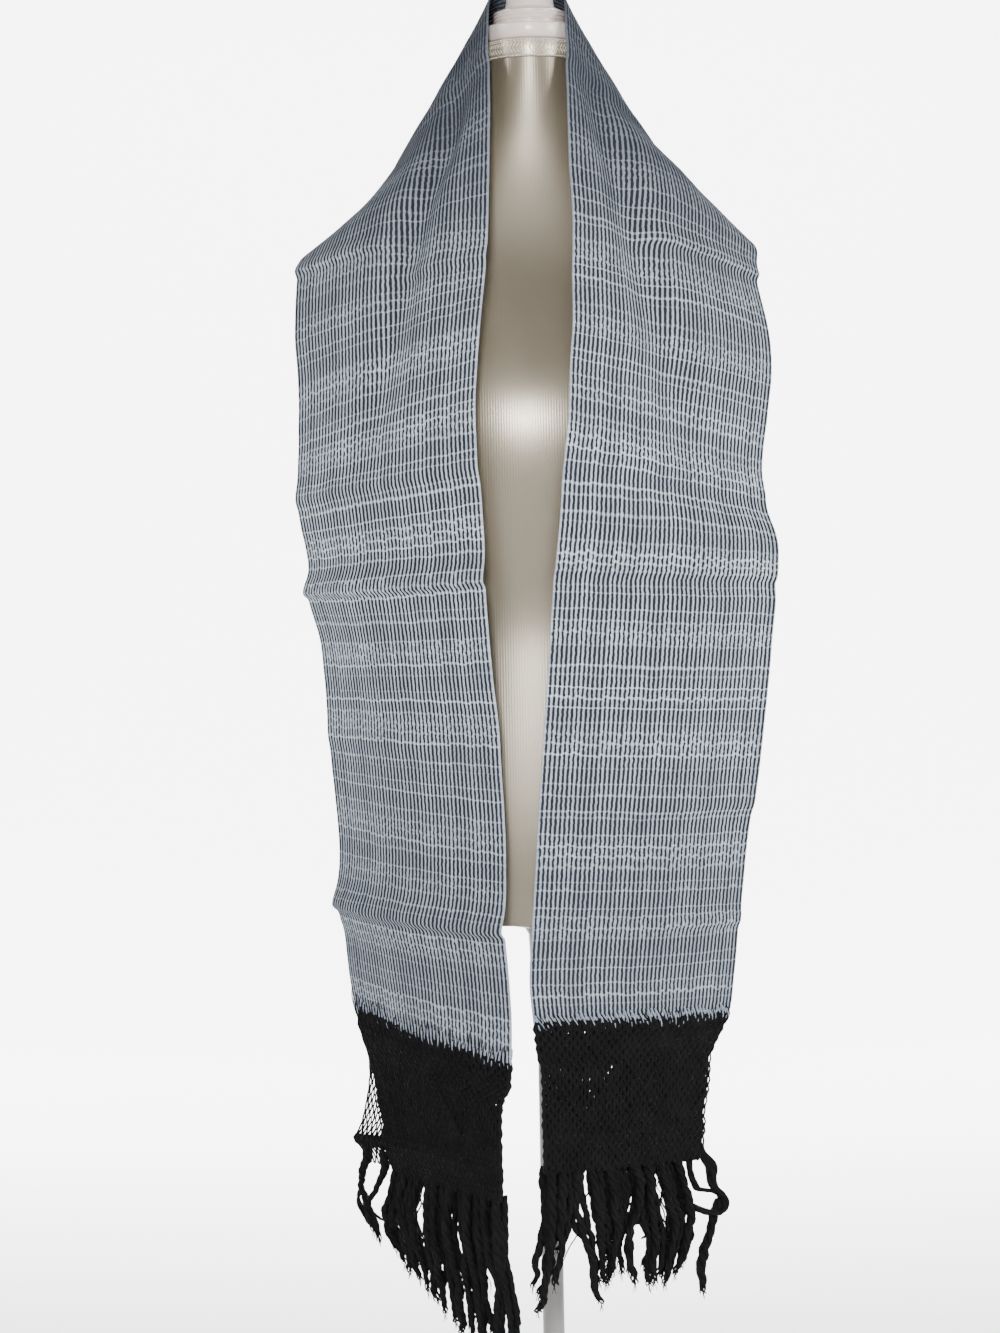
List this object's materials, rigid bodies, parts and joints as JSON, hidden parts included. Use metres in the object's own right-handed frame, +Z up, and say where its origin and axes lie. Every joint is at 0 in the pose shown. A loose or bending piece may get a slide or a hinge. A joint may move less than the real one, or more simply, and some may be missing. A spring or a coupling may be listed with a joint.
{
  "type": "rebozo shawl on a dress form stand",
  "caption": "Long striped woven shawl with black knotted net ends and fringe, hung round the neck of a limbless dress form on a pole stand.",
  "frame": {"origin": "centre of the flat underside of the stand's round base", "axes": "+Z up along the pole, -Y towards the front where the shawl's two ends hang, +X to the viewer's right"},
  "size_m": [0.3914, 0.34, 1.504],
  "materials": {
    "striped_cloth": "matte woven cotton, pale and navy warp stripes with irregular pale dyed dashes",
    "black_net": "matte black hand-knotted yarn net",
    "black_yarn": "matte black twisted yarn",
    "cream_jersey": "smooth cream jersey cover",
    "white_plastic": "semi-gloss off-white plastic",
    "painted_pole": "satin greige paint on steel"
  },
  "bodies": {
    "root": {"cloth_front_left": "striped_cloth", "cloth_front_right": "striped_cloth", "cloth_neck": "striped_cloth", "border_left": "black_net", "border_right": "black_net", "fringe_left": "black_yarn", "fringe_right": "black_yarn", "form_torso": "cream_jersey", "form_collar": "cream_jersey", "neck_plate": "white_plastic", "neck_cap": "white_plastic", "pole_socket": "painted_pole", "pole": "painted_pole", "stand_base": "painted_pole"}
  },
  "joints": []
}
